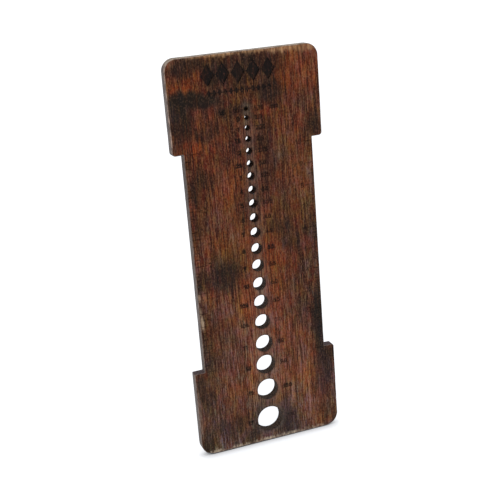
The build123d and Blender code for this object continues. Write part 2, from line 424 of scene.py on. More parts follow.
# where the whole face is lighter and darker
LIGHT = [
    (-2, 38, 10, 12, .10), (20, 22, 8, 12, .12), (1, 12, 4, 8, .14), (-11, 52, 6, 20, .05),
    (-8, 72, 6, 8, .06), (0, 94, 6, 6, .06), (0, 2, 40, 4, .10), (-32, 183, 4, 3.5, .3),
    (5, 13, 5, 6, .12), (-6, 33, 6, 8, .1), (-15, 162, 6, 5, .08), (-22, 81, 6, 5, .08)]
SHADE = [
    (-29, 70, 5, 8, .12), (18, 64, 7, 7, .10), (31, 182, 4, 4, .12), (31.5, 39.5, 5, 5, .42),
    (31, 147, 6, 5, .16), (-32, 178, 4, 6, .12), (30, 20, 4, 20, .08), (27, 55, 5, 14, .06),
    (-30, 73, 4, 7, .2), (-20, 63, 5, 8, .16), (17, 170, 9, 12, .16), (-11, 146, 6, 14, .2),
    (-30, 135, 6, 10, .18), (12, 118, 8, 10, .12), (-20, 120, 6, 8, .1), (8, 182, 9, 4, .18),
    (-16, 182, 30, 4, .1), (-27, 66, 5, 8, .14), (-20, 61, 5, 6, .1), (10, 65, 5, 6, .12),
    (20, 64, 5, 6, .06), (0, 123, 6, 9, .13), (21, 142, 5, 6, .1), (27, 162, 8, 6, .05),
    (-12, 20, 8, 8, .05)]
# redder and less red patches of the same lightness
RUDDY = [
    (-30, 179, 6, 7, .9), (-29, 151, 6, 4.5, .9), (-20, 157, 7, 9, 1.0), (-10, 145, 6, 7, 1.0),
    (0, 143, 5, 6, .5), (-31, 119, 6, 10, 1.0), (0, 125, 5, 5, .7), (20, 95, 5, 5, .5),
    (30, 54, 5, 5, .8), (30, 28, 5, 9, .8), (-20, 14, 6, 5, .9), (0, 4, 5, 4, .7)]
ASHEN = [
    (30, 133, 5, 6, .6), (30, 110, 6, 16, .7), (20, 115, 6, 6, .8), (-10, 110, 6, 13, .8),
    (-10, 95, 6, 6, .6), (0, 94, 5, 5, .5), (-30, 84, 5, 5, .5), (9, 84, 5, 5, .8),
    (30, 74, 5, 6, 1.0), (-30, 64, 5, 6, .6), (20, 23, 6, 7, .6), (-30, 4, 5, 5, .6),
    (-10, 7, 5, 8, .5), (30, 3, 5, 5, .6), (-10, 34, 5, 6, .4)]
# attribute: (patches, seed offset)
STAINS = {"dark": (DARK, 61), "warm": (WARM, 62), "streaks": (STREAKS, 65), "olive": (OLIVE, 63),
          "pale": (PALE, 64)}
# labels the laser coloured unevenly: (x, z, strength)
UNEVEN_LABELS = [
    (8.7, 61.25, 0.4), (11.4, 11.55, 0.22), (-6.0, 160.3, 0.6), (-8.5, 61.25, 0.75),
    (7.5, 96.75, 1.0), (10.3, 26.95, 1.0), (6.5, 130.45, 0.6), (6.8, 117.9, 0.6)]


def patches(x, z, table, seed):
    """0..1: how fully the table's patches, with wavering borders, cover each point."""
    bent_x = (x + 2.4 * fbm(x / 8.0, z / 12.0, seed=seed)
              + 0.35 * vnoise(x / 1.1, z / 9.0, seed=seed + 9))
    bent_z = z + 3.2 * fbm(x / 5.0, z / 14.0, seed=seed + 1)
    clear = np.ones_like(x)
    for centre_x, centre_z, half_x, half_z, strength in table:
        far = np.sqrt(((bent_x - centre_x) / half_x) ** 2 + ((bent_z - centre_z) / half_z) ** 2)
        clear = clear * (1 - strength * (1 - smooth(0.55, 1.45, far)))
    return 1 - clear


# ----------------------------------------------------------------------------
# point attributes of the two outer faces
# ----------------------------------------------------------------------------
def edge_distance(points, base, normals):
    """Distance in mm of points to the outline."""
    tree = point_tree(base)
    result = np.empty(len(points))
    for i, point in enumerate(points):
        _, k, far = tree.find((point[0], point[1], 0))
        result[i] = abs((point - base[k]) @ normals[k]) if far < 3 else far
    return result


def wear(x, z, side, base, normals, seed):
    """How far the stain is rubbed off, along the edges and in the BARE patches."""
    near_edge = np.exp(-edge_distance(np.c_[x, z], base, normals) / 0.45)
    grain = smooth(-0.25, 0.55, fbm(x / 0.7, z / 5.0, seed=seed + 51))
    where = smooth(-0.05, 0.6, fbm(x / 11, z / 11, seed=seed + 52, octaves=2))
    rubbed = np.zeros(len(x))
    near_ends = np.abs(z - HEIGHT / 2) > 70
    bent_z = z + 0.7 * vnoise(x / 0.55, z / 6, seed=seed + 53) * near_ends
    for centre_x, centre_z, half_x, half_z, strength in BARE:
        far = np.sqrt(((side * x - centre_x) / half_x) ** 2 + ((bent_z - centre_z) / half_z) ** 2)
        rubbed = np.maximum(rubbed, strength * (1 - smooth(0.5, 1.3, far)))
    streak = smooth(-0.35, 0.35, fbm(x / 0.5, z / 3.0, seed=seed + 54, octaves=2))
    less_on_right = 1 - 0.85 * smooth(10, 28, side * x)
    edge_wear = 0.32 * near_edge * grain * where * less_on_right
    return np.maximum(edge_wear, rubbed * (0.35 + 0.65 * streak))


def char(x, z):
    """How scorched the wood is round the bores."""
    gap = np.full(len(x), 9.0)
    for hole_x, hole_z, radius in HOLES:
        gap = np.minimum(gap, np.abs(np.hypot(x - hole_x, z - hole_z) - radius))
    return np.exp(-gap / 0.45)


def dust(x, z, side):
    """0..1 where the wood round the bores is rubbed pale: above, below and to one side."""
    result = np.zeros(len(x))
    for hole_x, hole_z, radius in HOLES:
        across, up = side * (x - hole_x), z - hole_z
        far = np.hypot(across, up)
        gap = np.maximum(far - radius, 0)
        safe = np.maximum(far, 1e-6)
        way = (np.abs(up) / safe) ** 1.5 + 0.7 * (np.maximum(across, 0) / safe) ** 2
        pale = np.minimum(way, 1) * smooth(0.1, 0.5, gap) * np.exp(-(gap / 1.6) ** 2)
        result = np.maximum(result, pale)
    return result


def label_strength(x, z):
    """How strongly the laser has coloured a label: paler on the right, and unevenly."""
    result = np.where((x > 2.5) & (z < 163.0), 0.74, 1.0)
    for label_x, label_z, strength in UNEVEN_LABELS:
        on_label = (np.abs(x - label_x) < 4.2) & (np.abs(z - label_z) < 1.8)
        result = np.where(on_label, strength, result)
    return result


def scorch(x, y, z, engraved):
    """The dark fringe round the engraved shapes."""
    if not engraved:
        return np.zeros(len(x))
    gap = nearest(np.c_[x, z], np.vstack(engraved))
    strength = np.where(np.abs(x) > HALF_WAIST - RULER_BAND, 0.35, label_strength(x, z))
    return np.exp(-(gap / 0.13) ** 2) * (y < Y_FRONT + 0.15) * strength


def ink(x, z):
    """How fully an engraved floor is burnt: less in the rulers, least at their ends."""
    ruler = ((np.abs(x) > HALF_WAIST - RULER_BAND)
             & (np.abs(z - (Z_LOW + Z_HIGH) / 2) < (Z_HIGH - Z_LOW) / 2 + 0.6))
    at_end = np.minimum(np.abs(z - Z_LOW), np.abs(z - Z_HIGH)) < 0.3
    return np.where(ruler, np.where(at_end, 0.2, 0.42), 0.93 * label_strength(x, z))


def face_attributes(points, base, normals, engraved, front, seed):
    """{attribute: values}. The back carries its own stain, turned end for end."""
    x, y, z = points.T
    side = 1 if front else -1
    stain_z = z if front else HEIGHT - z

    def cover(table, offset):
        return patches(side * x, stain_z, table, seed + offset)

    values = {name: cover(*stain) for name, stain in STAINS.items()}
    values["wear"] = wear(x, z, side, base, normals, seed)
    # strength of hue: 0 grey, 0.5 usual, 1 rich
    values["fade"] = (0.5 + 0.36 * (smooth(10, 130, stain_z) - 0.5)
                      - 0.45 * cover(GREY, 66) + 0.4 * cover(RED, 67))
    values["ruddy"] = 0.5 + 0.5 * cover(RUDDY, 71) - 0.5 * cover(ASHEN, 72)
    values["level"] = ((0.99 - 0.12 * smooth(60, 135, stain_z))
                       * (1 + 1.6 * cover(LIGHT, 68)) * (1 - 1.6 * cover(SHADE, 69)))
    values["char"] = char(x, z)
    values["dust"] = dust(x, z, side)
    values["ink"] = ink(x, z)
    values["scorch"] = scorch(x, y, z, engraved)
    return values


# ----------------------------------------------------------------------------
# mesh building
# ----------------------------------------------------------------------------
FACE, EDGE, ENGRAVED, BORE = 0, 1, 2, 3  # material slots


def triangulate(rings, free=(), edges=()):
    """Triangles, as indices, over rings (the first the outer one, the rest holes), lists of free
    points, and edges given as pairs of indices into all the points."""
    points = np.vstack([*rings, *free])
    kept_edges, owner, start = [], np.full(len(points), -1), 0
    for k, ring in enumerate(rings):
        count = len(ring)
        kept_edges += [(start + i, start + (i + 1) % count) for i in range(count)]
        owner[start:start + count] = k
        start += count
    kept_edges += [(int(a), int(b)) for a, b in edges]
    corners = [Vector((float(x), float(z))) for x, z in points]
    # no faces given; output the convex hull's triangles, tolerance 1e-7, with source indices
    result = delaunay_2d_cdt(corners, kept_edges, [], 0, 1e-7, True)
    source = np.array([ids[0] if len(ids) else -1 for ids in result[3]])
    if (source < 0).any():
        raise RuntimeError("edges cross, so new points appeared while triangulating")
    tris = source[np.array(list(result[2]))]
    own = owner[tris]
    in_hole = (own[:, 0] > 0) & (own[:, 0] == own[:, 1]) & (own[:, 1] == own[:, 2])
    tris = tris[~in_hole]
    # triangles between outline points only may lie outside a concave corner
    doubt = (owner[tris] == 0).all(1)
    keep = np.ones(len(tris), bool)
    keep[np.nonzero(doubt)[0]] = inside(points[tris[doubt]].mean(1), [rings[0]])
    return tris[keep]


class Shell:
    """Points and faces of one closed piece, in mm."""

    def __init__(self):
        self.points, self.count, self.faces, self.kinds = [], 0, [], []

    def add(self, flat, y):
        """Adds (x, z) points at depth y; returns their indices."""
        self.points.append(np.c_[flat[:, 0], np.broadcast_to(y, len(flat)), flat[:, 1]])
        self.count += len(flat)
        return np.arange(self.count - len(flat), self.count)

    def wall(self, rows, kind, inner=False):
        """Quads between rings by rising y, counter-clockwise seen from the front."""
        for low, high in zip(rows, rows[1:]):
            low_next, high_next = np.roll(low, -1), np.roll(high, -1)
            if inner:
                quads = np.c_[low, low_next, high_next, high]
            else:
                quads = np.c_[low, high, high_next, low_next]
            self.faces += quads.tolist()
            self.kinds += [kind] * len(quads)

    def cap(self, tris, kinds, towards_back):
        self.faces += (tris[:, ::-1] if towards_back else tris).tolist()
        self.kinds += kinds

    def close(self, rings, towards_back):
        """A flat cap over rings given as (flat points, indices)."""
        tris = triangulate([flat for flat, _ in rings])
        index = np.concatenate([ids for _, ids in rings])
        self.cap(index[tris], [EDGE] * len(tris), towards_back)

    def object(self, name, materials, attributes):
        mesh = bpy.data.meshes.new(name)
        mesh.from_pydata((np.vstack(self.points) * MM).tolist(), [], self.faces)
        mesh.polygons.foreach_set("material_index", np.array(self.kinds, np.int32))
        mesh.polygons.foreach_set("use_smooth", np.ones(len(self.faces), bool))
        for material in materials:
            mesh.materials.append(material)
        for key, values in attributes.items():
            attribute = mesh.attributes.new(key, "FLOAT", "POINT")
            attribute.data.foreach_set("value", np.asarray(values, np.float32))
        mesh.validate()
        mesh.update()
        mesh.set_sharp_from_angle(angle=math.radians(38))
        piece = bpy.data.objects.new(name, mesh)
        bpy.context.scene.collection.objects.link(piece)
        return piece


def wall_inset(base, y):
    """How far the sawn and sanded rim lies inside the CAD outline, in mm."""
    x, z = base.T
    wave = 0.014 * (0.5 + 0.5 * fbm(x / 6.0, z / 6.0, np.full(len(x), y / 3.0), seed=71))
    scratch = 0.010 * (0.5 + 0.5 * vnoise(x / 0.5, z / 0.5, np.full(len(x), y * 1.5), seed=74))
    return wave + scratch


def slant(y):
    """How far the cut misses a bore's CAD radius at depth y, in mm: a touch tight, and more so
    towards the back."""
    return -0.07 - 0.10 * (y - Y_FRONT) / (Y_BACK - Y_FRONT)


def bore_growth(ring, y):
    """How far a bore wall lies outside its CAD radius, in mm: the slant of the cut, and flutes
    that run through the plate."""
    x, z = ring.T
    flutes = 0.5 + 0.5 * vnoise(x / 0.32, z / 0.32, np.full(len(x), y * 0.5), seed=83)
    waves = 0.5 + 0.5 * vnoise(x / 1.5, z / 1.5, np.full(len(x), y), seed=84)
    return slant(y) + 0.006 * flutes + 0.002 * waves


def inner_layer(name, node, materials):
    """A veneer or a glue film that shows only at the rim and in the bores."""
    front_y, back_y = LAYER[node]
    thickness = back_y - front_y
    thick = thickness > THICK_LAYER
    recess = GLUE_RECESS if "glue" in node else 0.0
    levels = np.linspace(front_y, back_y, 5 if thick else 3)
    shell = Shell()
    front_cap, back_cap = [], []

    def sweep(ring_at, kind, inner=False):
        flats = [ring_at(y) for y in levels]
        rows = [shell.add(flat, y) for flat, y in zip(flats, levels)]
        shell.wall(rows, kind, inner)
        front_cap.append((flats[0], rows[0]))
        back_cap.append((flats[-1], rows[-1]))

    base, normals, _ = outline(step=0.55)

    def rim_at(y):
        share = (y - front_y) / thickness
        belly = recess + (0.014 * (2 * share - 1) ** 2 if thick else 0)
        return base - normals * (wall_inset(base, y) + belly)[:, None]

    sweep(rim_at, EDGE)
    for hole in HOLES:
        ring, away = circle(*hole, step=0.4)
        sweep(lambda y: ring + away * (bore_growth(ring, y) + recess * 0.4)[:, None], BORE, True)
    shell.close(front_cap, towards_back=False)
    shell.close(back_cap, towards_back=True)
    return shell.object(name, materials, {})


def rim_radii(base, front, seed):
    """Radius of the worn edge at each outline point."""
    x, z = base.T
    along = np.r_[0, np.cumsum(np.linalg.norm(np.diff(base, axis=0), axis=1))]
    worn = smooth(-0.1, 0.75, fbm(along / 9.0, np.full(len(along), 3.0), seed=seed + 21))
    least, by_wear, at_bottom = (0.24, 0.22, 0.44) if front else (0.18, 0.18, 0.2)
    radius = (least + by_wear * worn
              + 0.14 * (front * smooth(-5, -30, x)) * smooth(130, 150, z)    # upper left
              + at_bottom * smooth(2.0, 0.3, z)
              + 0.04 * vnoise(along / 1.3, np.zeros(len(along)), seed=seed + 22))
    # keep the left lower shoulder's tight corner from folding over
    corner = np.hypot(x + HALF_WIDTH, z - Z_LOW)
    return np.minimum(radius, 0.26 + 0.5 * np.maximum(corner - 0.4, 0))


class FacePoints:
    """The (x, z) points of a face with their engraved depths, and the edges it must keep."""

    def __init__(self, rings):
        self.rings = rings
        self.points = list(rings)
        self.depths = [np.zeros(len(ring)) for ring in rings]
        self.edges = []

    def add(self, points, depth):
        start = sum(map(len, self.points))
        self.points.append(points)
        self.depths.append(np.broadcast_to(depth, len(points)))
        return np.arange(start, start + len(points))


def engrave_marks(face):
    """Adds the engraved shapes; returns the floors as (points, depth), and the outer edges."""
    floors, outers = [], []
    for raw, depth in engraved_loops():
        outer = tidy(raw)
        slope = 0.035 if depth < 0.3 else 0.06
        floor = inset(outer, slope)
        for points, level in ((outer, 0.0), (floor, depth)):
            ring = face.add(points, level)
            face.edges += list(zip(ring, np.roll(ring, -1)))
        floors.append((floor, depth))
        outers.append(outer)
    return floors, outers


def tick_reach(side, number):
    if side < 0:
        return TICK_LONG if number % 8 == 0 else TICK_MEDIUM if number % 4 == 0 else TICK_SHORT
    return TICK_MEDIUM if number % 2 == 0 else TICK_SHORT


def engrave_ticks(face, top, base, on_waist):
    """Adds the ruler ticks, which run out over the rim."""
    for side in (-1, 1):
        waist = np.nonzero(on_waist & (np.sign(base[:, 0]) == side))[0]
        for number, height in enumerate(tick_heights(side), 1):
            reach = tick_reach(side, number)
            corners = tick_corners(height)
            cut = [waist[np.argmin(np.abs(base[waist, 1] - corner))] for corner in corners]
            if any(abs(base[cut[k], 1] - corners[k]) > 0.02 for k in (0, 3)):
                continue
            for start, end, shorter, depth in ((cut[0], cut[3], 0.0, 0.0),
                                               (cut[1], cut[2], TICK_SLOPE, TICK_DEPTH)):
                end_x = side * (HALF_WAIST - reach + shorter)
                count = max(int(abs(top[start, 0] - end_x) / 0.45), 2)
                low = np.c_[np.linspace(top[start, 0], end_x, count + 1)[1:],
                            np.linspace(top[start, 1], base[start, 1], count + 1)[1:]]
                high = np.c_[np.linspace(end_x, top[end, 0], count + 1)[:-1],
                             np.full(count, base[end, 1])]
                chain = [start, *face.add(np.vstack([low, high]), depth), end]
                face.edges += list(zip(chain, chain[1:]))
            face.depths[0][[cut[1], cut[2]]] = TICK_DEPTH


def add_grid(face, floors, seed):
    """Adds free points over the face, close across the grain and wide along it."""
    count_x, count_z = int((2 * HALF_WIDTH - 1) / GRID_X), int((HEIGHT - 1) / GRID_Z)
    x, z = np.meshgrid(np.linspace(-HALF_WIDTH + 0.5, HALF_WIDTH - 0.5, count_x),
                       np.linspace(0.5, HEIGHT - 0.5, count_z))
    x[1::2] += GRID_X / 2
    rng = np.random.default_rng(seed)
    x = x + rng.uniform(-0.04, 0.04, x.shape)
    z = z + rng.uniform(-0.12, 0.12, z.shape)
    grid = np.c_[x.ravel(), z.ravel()]
    grid = grid[inside(grid, [face.rings[0]])]
    for hole_x, hole_z, radius in HOLES:
        grid = grid[np.hypot(grid[:, 0] - hole_x, grid[:, 1] - hole_z) > radius + 0.32]
    grid = grid[nearest(grid, np.vstack(face.points)) > 0.17]
    depths = np.zeros(len(grid))
    for depth in sorted({level for _, level in floors}):
        depths[inside(grid, [floor for floor, level in floors if level == depth])] = depth
    face.add(grid, depths)


def face_layer(name, node, front, seed, materials):
    """An outer veneer: an open-pored, worn face with rounded edges, engraved on the front."""
    front_y, back_y = LAYER[node]
    face_y, glue_y = (front_y, back_y) if front else (back_y, front_y)
    into = 1.0 if front else -1.0        # direction from the face into the plate
    shell = Shell()
    base, normals, on_waist = outline(step=0.5, ticks=front)
    radius = rim_radii(base, front, seed)
    top = base - normals * radius[:, None]

    rings, bores = [top], []
    for hole in HOLES:
        ring, away = circle(*hole, step=0.30)
        large = smooth(1.0, 3.5, hole[2])
        rim = (0.022 + 0.022 * large
               + (0.008 + 0.012 * large) * vnoise(ring[:, 0] / 0.8, ring[:, 1] / 0.8, seed=seed + 31))
        rings.append(ring + away * (rim + slant(face_y))[:, None])
        bores.append((ring, away, rim))

    face = FacePoints(rings)
    floors, engraved = [], []
    if front:
        floors, engraved = engrave_marks(face)
        engrave_ticks(face, top, base, on_waist)
    add_grid(face, floors, seed)
    tris = triangulate(rings, face.points[len(rings):], face.edges)

    flat, depth = np.vstack(face.points), np.concatenate(face.depths)
    x, z = flat.T
    burnt = 0.02 * (0.5 + 0.5 * vnoise(x / 0.4, z / 0.25, seed=seed + 41))
    drop = np.where(depth > 0, depth + burnt, relief(x, z, seed))
    used = np.unique(tris)
    index = np.full(len(flat), -1)
    index[used] = shell.add(flat[used], (face_y + into * drop)[used])
    kinds = np.where((depth[tris] > 0).any(1), ENGRAVED, FACE)
    shell.cap(index[tris], kinds.tolist(), towards_back=not front)

    # rounded edge, then the sawn rim down to the glue line
    count = len(top)
    rows = [index[:count]]
    middle = face_y + into * 0.5
    for turn in np.radians([20, 42, 66, 90]):
        move = radius * (1 - math.sin(turn)) + wall_inset(base, middle) * math.sin(turn)
        down = drop[:count] * (1 - turn / 1.6) + radius * (1 - math.cos(turn))
        down = np.maximum(down, depth[:count])
        rows.append(shell.add(base - normals * move[:, None], face_y + into * down))
    rounded_y = face_y + into * radius
    for share, rim_y in ((0.5, middle), (1.0, glue_y)):
        points = base - normals * wall_inset(base, rim_y)[:, None]
        rows.append(shell.add(points, rounded_y + (glue_y - rounded_y) * share))
    glue_rings = [(points, rows[-1])]
    shell.wall(rows if front else rows[::-1], EDGE)

    # bore walls, with a small rounded lip
    start = count
    for ring, away, rim in bores:
        end = start + len(ring)
        rows = [index[start:end]]
        for turn in np.radians([30, 60, 90]):
            move = ((rim + slant(face_y)) * (1 - math.sin(turn))
                    + bore_growth(ring, face_y) * math.sin(turn))
            down = drop[start:end] * (1 - turn / 1.6) + rim * (1 - math.cos(turn))
            rows.append(shell.add(ring + away * move[:, None], face_y + into * down))
        for share in (0.5, 1.0):
            lip_y = face_y + into * rim
            y = lip_y + (glue_y - face_y - into * rim) * share
            growth = bore_growth(ring, face_y + (glue_y - face_y) * share)
            points = ring + away * growth[:, None]
            rows.append(shell.add(points, y))
        glue_rings.append((points, rows[-1]))
        shell.wall(rows if front else rows[::-1], BORE, inner=True)
        start = end
    shell.close(glue_rings, towards_back=front)

    attributes = face_attributes(np.vstack(shell.points), base, normals, engraved, front, seed)
    return shell.object(name, materials, attributes)


# ----------------------------------------------------------------------------
# materials
# ----------------------------------------------------------------------------
def srgb(*channels):
    """0..255 display values as a linear colour."""
    parts = [c / 255 for c in channels]
    return (*(c / 12.92 if c <= 0.04045 else ((c + 0.055) / 1.055) ** 2.4 for c in parts), 1.0)


class Surface:
    """A small node builder. Coordinates are in mm along the plate's own axes."""

    def __init__(self, name):
        self.mat = bpy.data.materials.new(name)
        self.mat.use_nodes = True
        self.tree = self.mat.node_tree
        self.tree.nodes.clear()
        output = self.node("OutputMaterial")
        self.bsdf = self.node("BsdfPrincipled")
        self.put(output.inputs[0], self.bsdf.outputs[0])

    def node(self, kind, *inputs, **settings):
        """A shader node with its settings and its first inputs filled in."""
        node = self.tree.nodes.new("ShaderNode" + kind)
        for key, value in settings.items():
            setattr(node, key, value)
        for socket, value in zip(node.inputs, inputs):
            self.put(socket, value)
        return node

    def put(self, socket, value):
        if isinstance(value, bpy.types.NodeSocket):
            self.tree.links.new(value, socket)
        else:
            socket.default_value = value

    @cached_property
    def mm(self):
        return self.vector("MULTIPLY", self.node("TexCoord").outputs["Object"], (1000, 1000, 1000))

    def vector(self, operation, first, second):
        return self.node("VectorMath", first, second, operation=operation).outputs[0]

    def scaled(self, color, factor):
        node = self.node("VectorMath", color, operation="SCALE")
        self.put(node.inputs["Scale"], factor)
        return node.outputs[0]

    def math(self, operation, first, second, clamp=False):
        return self.node("Math", first, second, operation=operation, use_clamp=clamp).outputs[0]

    def times(self, first, second, clamp=False):
        return self.math("MULTIPLY", first, second, clamp)

    def axis(self, number):
        return self.node("SeparateXYZ", self.mm).outputs[number]

    def facing(self, axis, sign, over):
        """0..1 as the surface turns towards an axis, over a range of the normal's share of it."""
        normal = self.node("SeparateXYZ", self.node("TexCoord").outputs["Normal"])
        return self.ramp(self.times(normal.outputs[axis], sign), over)

    def noise(self, size, seed, detail=3, roughness=0.6, distortion=0.0):
        """Noise whose blobs are about `size` mm along x, y and z; 0..1 around 0.5."""
        moved = self.vector("ADD", self.mm, (seed * 7.3, seed * 3.1, seed * 11.7))
        node = self.node("TexNoise", noise_dimensions="3D")
        place = self.vector("MULTIPLY", moved, tuple(1.0 / length for length in size))
        for key, value in (("Vector", place), ("Scale", 1.0), ("Detail", detail),
                           ("Roughness", roughness), ("Distortion", distortion)):
            self.put(node.inputs[key], value)
        return node.outputs["Fac"]

    def ramp(self, value, over, give=(0.0, 1.0)):
        """Smooth step: as the value runs through `over`, the result runs through `give`."""
        return self.node("MapRange", value, *over, *give,
                         interpolation_type="SMOOTHSTEP").outputs[0]

    def mix(self, share, under, upper, blend="MIX"):
        node = self.node("Mix", data_type="RGBA", blend_type=blend, clamp_factor=True)
        for i, value in ((0, share), (6, under), (7, upper)):
            self.put(node.inputs[i], value)
        return node.outputs[2]

    def layers(self, color, rows):
        """Lays colours over; rows of (mask, start, end, full share at end, colour)."""
        for mask, start, end, share, upper in rows:
            color = self.mix(self.ramp(mask, (start, end), (0.0, share)), color, upper)
        return color

    def tint(self, color, mask, low, high, share=1.0):
        """Multiplies by `low` where the mask is 0 and by `high` where it is 1."""
        return self.mix(share, color, self.mix(mask, (*low, 1.0), (*high, 1.0)), "MULTIPLY")

    def attribute(self, name):
        return self.node("Attribute", attribute_name=name).outputs["Fac"]

    def finish(self, color, rough, height=None, strength=0.5, distance=0.05, specular=0.4):
        """`strength` and `distance` (mm) set the bump made from `height`."""
        self.put(self.bsdf.inputs["Base Color"], color)
        self.put(self.bsdf.inputs["Roughness"], rough)
        self.put(self.bsdf.inputs["Specular IOR Level"], specular)
        self.put(self.bsdf.inputs["Coat Roughness"], 0.4)
        if height is not None:
            bump = self.node("Bump")
            self.put(bump.inputs["Strength"], strength)
            self.put(bump.inputs["Distance"], distance * MM)
            self.put(bump.inputs["Height"], height)
            self.put(self.bsdf.inputs["Normal"], bump.outputs[0])
        return self.mat


# noises of the face wood: (size, seed offset, detail, roughness, distortion)
FACE_NOISES = {
    "broad": ((1.9, 1.9, 38), 1, 3, 0.55, 0.2),
    "fibre": ((0.62, 0.62, 12.0), 2, 3, 0.62, 0.0),
    "hair": ((0.36, 0.36, 6.0), 3, 2, 0.6, 0.0),
    "fleck": ((0.34, 0.34, 1.3), 4, 2, 0.5, 0.0),
    "blot": ((1.3, 1.3, 2.1), 9, 3, 0.6, 0.0),
    "grit": ((0.55, 0.55, 0.9), 10, 2, 0.6, 0.0),
    "cloud": ((7, 7, 11), 5, 4, 0.62, 0.0),
    "hue": ((4.5, 4.5, 9), 6, 3, 0.6, 0.0),
    "gold": ((6, 6, 10), 7, 3, 0.6, 0.0),
    "rich": ((9, 9, 16), 12, 6, 0.78, 0.3),
    "turn": ((6, 6, 11), 13, 6, 0.78, 0.3),
    "sallow": ((1.5, 1.5, 4.0), 14, 3, 0.6, 0.0),
    "blush": ((1.7, 1.7, 3.0), 15, 3, 0.6, 0.0),
}


def face_wood(name, seed, burn=None):
    """Stained open-pored veneer. With `burn` (two colours), the same wood scorched by a laser
    as far as the "ink" attribute says."""
    wood = Surface(name)
    noise = {key: wood.noise(size, seed + offset, *rest)
             for key, (size, offset, *rest) in FACE_NOISES.items()}
    fibre, hair, fleck, grit = (noise[key] for key in ("fibre", "hair", "fleck", "grit"))
    wear_mask = wood.attribute("wear")

    # the stain's own colours
    color = wood.mix(wood.ramp(noise["broad"], over=(0.34, 0.66)),
                     srgb(60, 35, 26), srgb(100, 58, 40))
    color = wood.layers(color, [
        (noise["cloud"], 0.40, 0.62, 0.6, srgb(52, 32, 26)),
        (noise["hue"], 0.46, 0.64, 0.68, srgb(120, 44, 31))])
    golden = wood.ramp(noise["gold"], over=(0.54, 0.72), give=(0.0, 0.22))
    golden = wood.math("ADD", golden, wood.times(wood.attribute("olive"), 0.55), clamp=True)
    color = wood.mix(golden, color, srgb(112, 78, 42))
    fibres = wood.ramp(fibre, over=(0.32, 0.60), give=(0.4, 0.95))
    color = wood.mix(wood.times(wood.attribute("warm"), fibres), color, srgb(160, 82, 44))
    color = wood.mix(wood.times(wood.attribute("pale"), 0.5), color, srgb(104, 74, 62))

    # grain
    color = wood.layers(color, [
        (noise["blot"], 0.42, 0.30, 0.5, srgb(34, 20, 16)),
        (fibre, 0.50, 0.66, 0.42, srgb(162, 125, 109))])
    fibres = wood.ramp(fibre, over=(0.46, 0.64), give=(0.0, 0.52))
    color = wood.mix(wood.times(wood.attribute("streaks"), fibres), color, srgb(180, 137, 122))
    color = wood.layers(color, [
        (fibre, 0.50, 0.34, 0.62, srgb(42, 13, 6)),
        (hair, 0.50, 0.66, 0.53, srgb(163, 138, 132)),
        (hair, 0.50, 0.34, 0.58, srgb(42, 6, 1)),
        (fleck, 0.40, 0.27, 0.8, srgb(32, 7, 2))])
    fibres = wood.ramp(fibre, over=(0.30, 0.70), give=(1.18, 0.78))
    soot = wood.times(wood.attribute("dark"), fibres, clamp=True)
    color = wood.mix(soot, color, srgb(33, 29, 29))
    color = wood.mix(wood.times(wood.attribute("char"), 0.5), color, srgb(24, 19, 19))

    # drifts of hue and lightness
    for mask, low, high in (
            (wood.attribute("fade"), (0.83, 1.13, 1.70), (1.18, 0.865, 0.50)),
            (wood.attribute("ruddy"), (0.84, 1.09, 0.97), (1.17, 0.91, 0.99)),
            (wood.ramp(noise["rich"], over=(0.38, 0.62)), (0.905, 1.075, 1.50), (1.10, 0.93, 0.58)),
            (wood.ramp(noise["turn"], over=(0.38, 0.62)), (0.92, 1.065, 0.83), (1.085, 0.94, 1.21))):
        color = wood.tint(color, mask, low, high)
    color = wood.scaled(color, wood.attribute("level"))
    color = wood.layers(color, [
        (grit, 0.50, 0.34, 0.44, srgb(36, 7, 1)),
        (grit, 0.50, 0.66, 0.21, srgb(174, 143, 136))])
    color = wood.mix(1.0, color, (1.069, 0.850, 0.548, 1.0), "MULTIPLY")
    upward = wood.ramp(wood.axis(2), over=(20.0, 110.0), give=(0.15, 1.0))
    color = wood.tint(color, wood.ramp(noise["sallow"], over=(0.36, 0.64)),
                      low=(1.0, 1.0, 0.82), high=(1.0, 1.0, 1.19), share=upward)
    color = wood.tint(color, wood.ramp(noise["blush"], over=(0.36, 0.64)),
                      low=(0.98, 1.03, 1.0), high=(1.02, 0.97, 1.0))
    color = wood.mix(wood.times(soot, 0.45), color, srgb(30, 23, 20))

    # bare wood, scorched fringes, pale dust, then painted shading on sides turned right and painted
    # shade on sides turned down
    bare = wood.mix(wood.ramp(wood.axis(2), over=(20.0, 150.0)),
                    srgb(224, 204, 186), srgb(228, 178, 134))
    fibres = wood.ramp(fibre, over=(0.35, 0.6), give=(0.6, 1.1))
    color = wood.mix(wood.times(wear_mask, fibres, clamp=True), color, bare)
    color = wood.mix(wood.times(wood.attribute("scorch"), 0.8), color, srgb(16, 10, 9))
    color = wood.mix(1.0, color, (0.645, 0.635, 0.575, 1.0), "MULTIPLY")
    fibres = wood.ramp(fibre, over=(0.35, 0.62), give=(0.12, 0.40))
    color = wood.mix(wood.times(wood.attribute("dust"), fibres), color, srgb(112, 104, 94))
    # painted shading: a flat grey-brown tone on sides turned to the right
    right_facing_painted_shading = wood.facing(axis=0, sign=1.0, over=(0.12, 0.55))
    color = wood.mix(wood.times(right_facing_painted_shading, 0.7), color, srgb(80, 71, 67))
    # painted shade: slate blue on sides turned down, towards the floor
    down_facing_painted_shade = wood.facing(axis=2, sign=-1.0, over=(0.12, 0.3))
    color = wood.mix(wood.times(down_facing_painted_shade, 0.85), color, srgb(50, 60, 68))
    if burn is not None:
        ash = wood.noise((0.9, 0.9, 1.4), seed + 8, roughness=0.65)
        flecked = wood.mix(wood.ramp(ash, over=(0.58, 0.68), give=(0.0, 0.5)), *burn)
        fibres = wood.ramp(fibre, over=(0.30, 0.72), give=(1.0, 0.80))
        color = wood.mix(wood.times(wood.attribute("ink"), fibres), color, flecked)

